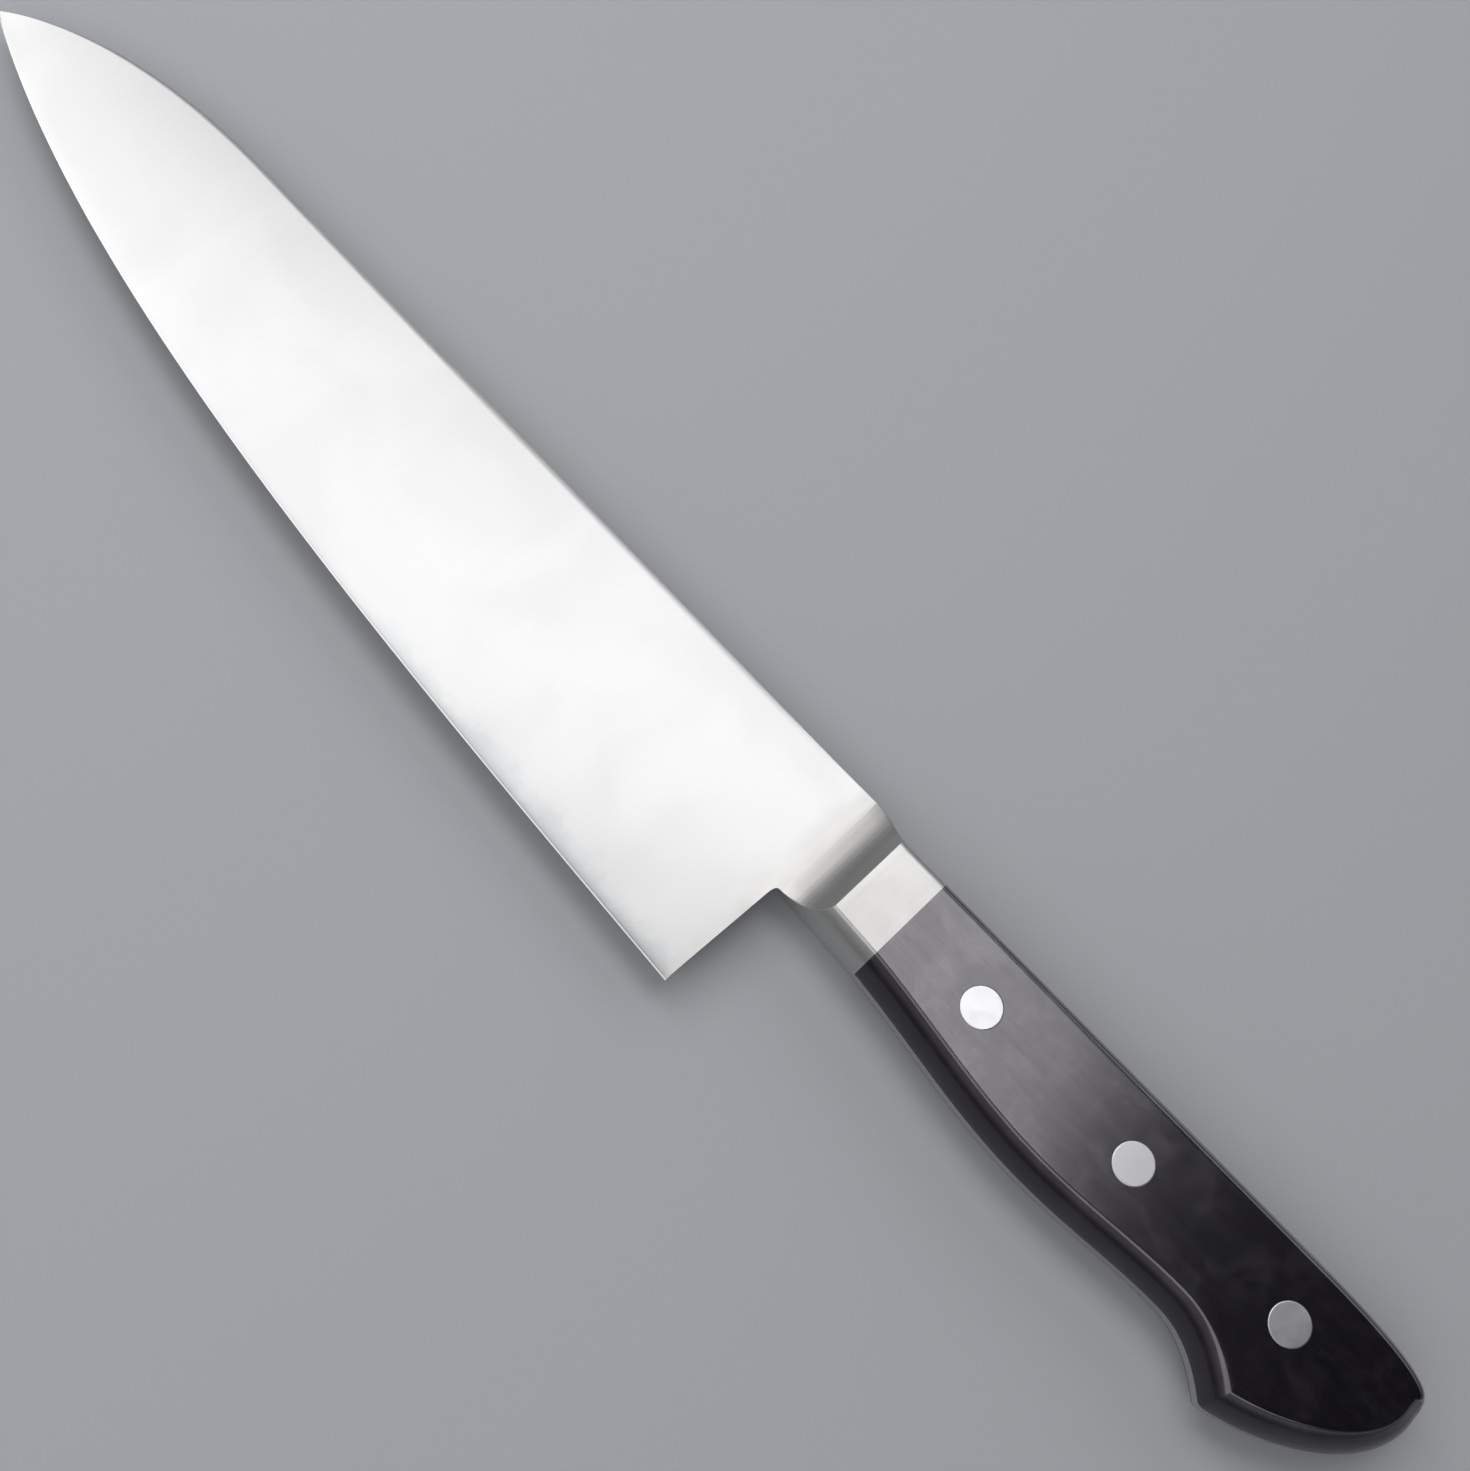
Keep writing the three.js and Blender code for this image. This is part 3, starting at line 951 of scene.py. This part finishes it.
def inwardVectors(outline):
    # how a point moves when both of its sides move in by one
    vectors = []
    for i, here in enumerate(outline):
        first = (here - outline[i - 1]).normalized()
        second = (outline[(i + 1) % len(outline)] - here).normalized()
        turn = max(1 + first.dot(second), scale["sharpLimit"])
        vectors.append(spot(-first.y - second.y, first.x + second.x) / turn)
    vectors[0], vectors[-1] = spot(0, 1), spot(0, -1)  # the front corners stay in the plane of the joint
    return vectors


def inwardPaths(outline):
    # where each point of the outline goes as it is moved in by small steps; points that meet stay together
    step = scale["pathStep"]
    places = outline
    groups = [[i] for i in range(len(outline))]
    paths = [[point] for point in outline]
    for _ in range(math.ceil(scale["pathReach"] / step) + 1):
        vectors = inwardVectors(places)
        moved = [place + vector * step for place, vector in zip(places, vectors)]
        kept, keptGroups, sharpness = [moved[0]], [groups[0]], [vectors[0].length]
        for i in range(1, len(moved)):
            along = places[i] - places[i - 1]
            if (moved[i] - kept[-1]).dot(along) > scale["leastSpace"] * along.length:
                kept.append(moved[i])
                keptGroups.append(groups[i])
                sharpness.append(vectors[i].length)
                continue
            keptGroups[-1] = keptGroups[-1] + groups[i]
            if vectors[i].length > sharpness[-1]:
                kept[-1], sharpness[-1] = moved[i], vectors[i].length
        places, groups = kept, keptGroups
        for place, group in zip(places, groups):
            for i in group:
                paths[i].append(place)
    return paths


def alongPath(path, inset):
    way = inset / scale["pathStep"]
    before = min(int(way), len(path) - 2)
    return path[before].lerp(path[before + 1], way - before)


def scaleProfile(inward):
    # fuller and softer along the top, and softer in front of the beak
    facing = inward.normalized()
    softness = ease(*scale["topTurn"], -facing.y)
    easing = mix(scale["lowerEase"], scale["upperEase"], softness)
    easing = mix(easing, scale["recessEase"], ease(*scale["recessTurn"], facing.x))
    profile = crownProfile(halfHandle, easing, mix(1, crown["topShare"], softness))
    return profile + [profile[-1] + Vector((scale["flatRim"], 0))]


def addSides(bm):
    outline = [p for p in lowerPoints + upperPoints[::-1] if p.x > bolsterLength - nearness]
    paths = inwardPaths(outline)
    profiles = [scaleProfile(inward) for inward in inwardVectors(outline)]
    placeLayer = bm.verts.layers.int.new("place")
    verts, edges = chain(bm, [spot(p.x, p.y, halfTang) for p in outline], closed=True)
    for i, vert in enumerate(verts):
        vert[placeLayer] = i

    def lifted(vert, level):
        inset, z = profiles[vert[placeLayer]][level]
        return alongPath(paths[vert[placeLayer]], inset) + spot(0, 0, z)

    for level in range(1, len(profiles[0])):
        made = pulledTo(bm, edges, lifted, level)
        edges = [e for e in made if all(v.co.z > halfTang + nearness for v in e.verts)]
    merge(bm)


def addHoles(bm):
    # stepped holes for the rivets, with eased mouths
    mouth = headRadius + rivet["holeGap"]
    lip = scale["holeEase"]
    steps = [(mouth, halfHandle - lip), (mouth, rivetSeat), (holeRadius, rivetSeat), (holeRadius, halfTang)]

    def sunk(vert, x, radius, z):
        return spot(x, 0, z) + spot(vert.co.x - x, vert.co.y).normalized() * radius

    for x in rivetPlaces.values():
        loop = ring(bm, x, halfHandle, mouth + lip, rivet["steps"])
        for radius, z in steps:
            loop = edgesAt(pulledTo(bm, loop, sunk, x, radius, z), 2, z)


def makeScale(name, side):
    bm = bmesh.new()
    addSides(bm)
    addHoles(bm)
    for z, up in ((halfHandle, 1), (halfTang, -1)):
        fill(bm, edgesAt(openEdges(bm), 2, z), (0, 0, up))
    bmesh.ops.scale(bm, vec=(1, 1, side), verts=bm.verts)
    addPiece(bm, f"{name}Scale", f"scale_{name}", "black_wood", scale["sharpAngle"], woodMaterial)


makeBlade()
for rivetName in rivetPlaces:
    makeRivet(rivetName, "male", 1)
    makeRivet(rivetName, "female", -1)
for makeHalf in (makeBolster, makeScale):
    makeHalf("left", 1)
    makeHalf("right", -1)
print("pieces made")


# Floor, light and camera, placed from the origin of the frame
stageLook = {
    "floorSize": 6,  # metres
    "floor": (0.445, 0.46, 0.485),
    "farFloor": (0.93, 0.94, 0.96),  # paler far off, where less light falls
    "floorFade": (0.5, 1.9),  # metres
    "floorRough": 0.85,
    "floorSpecular": 0.2,
    "room": {  # brightness by height above the horizon
        0.0: (0.118, 0.12, 0.126),
        0.1: (0.122, 0.124, 0.13),
        0.3: (0.38, 0.385, 0.392),
        0.8: (0.008, 0.008, 0.011),
    },
    "roomStrength": 1.0,
}
# panels overhead, in millimetres, with the brightness of their faces
lamps = {
    "overhead": {"at": (-332, 124, 600), "turn": 15, "size": (1010, 316), "glow": 2.26},
    "overheadEnd": {"at": (-800, 235, 600), "turn": 0, "size": (360, 230), "glow": 2.1},
    "frontStrip": {"at": (-60, -452, 600), "turn": 0, "size": (1300, 695), "glow": 1.05},
    "backStrip": {"at": (-50, 910, 600), "turn": 0, "size": (1300, 780), "glow": 0.85},
}
# millimetres and degrees
view = {
    "at": (61.5, -91.01, 324.49),
    "aim": (17.2, 13.44, 7),
    "roll": 23.971,
    "lens": 48.946,
    "sensor": 36,
    "clipStart": 10,
}


def makeFloor():
    bm = bmesh.new()
    bmesh.ops.create_grid(bm, x_segments=1, y_segments=1, size=stageLook["floorSize"] / 2)
    mesh = bpy.data.meshes.new("floor")
    bm.to_mesh(mesh)
    bm.free()
    material, tree, shader = newTree("paleFloor")
    away = newNode(tree, "VectorMath", {0: mappedCoords(tree)}, operation="LENGTH")["Value"]
    fade = spread(tree, away, *stageLook["floorFade"], soft=True)
    feed(tree, shader, {
        "Base Color": mixColour(tree, fade, stageLook["floor"], stageLook["farFloor"]),
        "Roughness": stageLook["floorRough"],
        "Specular IOR Level": stageLook["floorSpecular"],
    })
    mesh.materials.append(material)
    floor = bpy.data.objects.new("floor", mesh)
    scene.collection.objects.link(floor)


def makeWorld():
    world = bpy.data.worlds.new("softRoom")
    scene.world = world
    world.use_nodes = True
    tree = world.node_tree
    height = separate(tree, newNode(tree, "TexCoord", {})["Generated"])["Z"]
    ramp = tree.nodes.new("ShaderNodeValToRGB")
    stops = ramp.color_ramp.elements
    while len(stops) < len(stageLook["room"]):
        stops.new(0.5)
    for stop, (place, colour) in zip(stops, stageLook["room"].items()):
        stop.position, stop.color = place, (*colour, 1)
    feed(tree, ramp, {"Fac": height})
    colour = ramp.outputs["Color"]
    feed(tree, tree.nodes["Background"], {"Color": colour, "Strength": stageLook["roomStrength"]})


def makeLamps():
    for name, lamp in lamps.items():
        light = bpy.data.lights.new(name, "AREA")
        light.shape = "RECTANGLE"
        light.size, light.size_y = (side * mm for side in lamp["size"])
        light.energy = lamp["glow"] * math.pi * light.size * light.size_y
        thing = bpy.data.objects.new(name, light)
        scene.collection.objects.link(thing)
        thing.location = Vector(lamp["at"]) * mm
        thing.rotation_euler = (0, 0, math.radians(lamp["turn"]))


def makeCamera():
    data = bpy.data.cameras.new("viewpoint")
    data.lens = view["lens"]
    data.sensor_width = view["sensor"]
    data.clip_start = view["clipStart"] * mm
    camera = bpy.data.objects.new("viewpoint", data)
    scene.collection.objects.link(camera)
    place, aim = Vector(view["at"]) * mm, Vector(view["aim"]) * mm
    look = (aim - place).to_track_quat("-Z", "Y").to_matrix().to_4x4()
    roll = Matrix.Rotation(math.radians(view["roll"]), 4, "Z")
    camera.matrix_world = Matrix.Translation(place) @ look @ roll
    scene.camera = camera


makeFloor()
makeWorld()
makeLamps()
makeCamera()
scene.view_settings.view_transform = "Standard"
print("stage made")
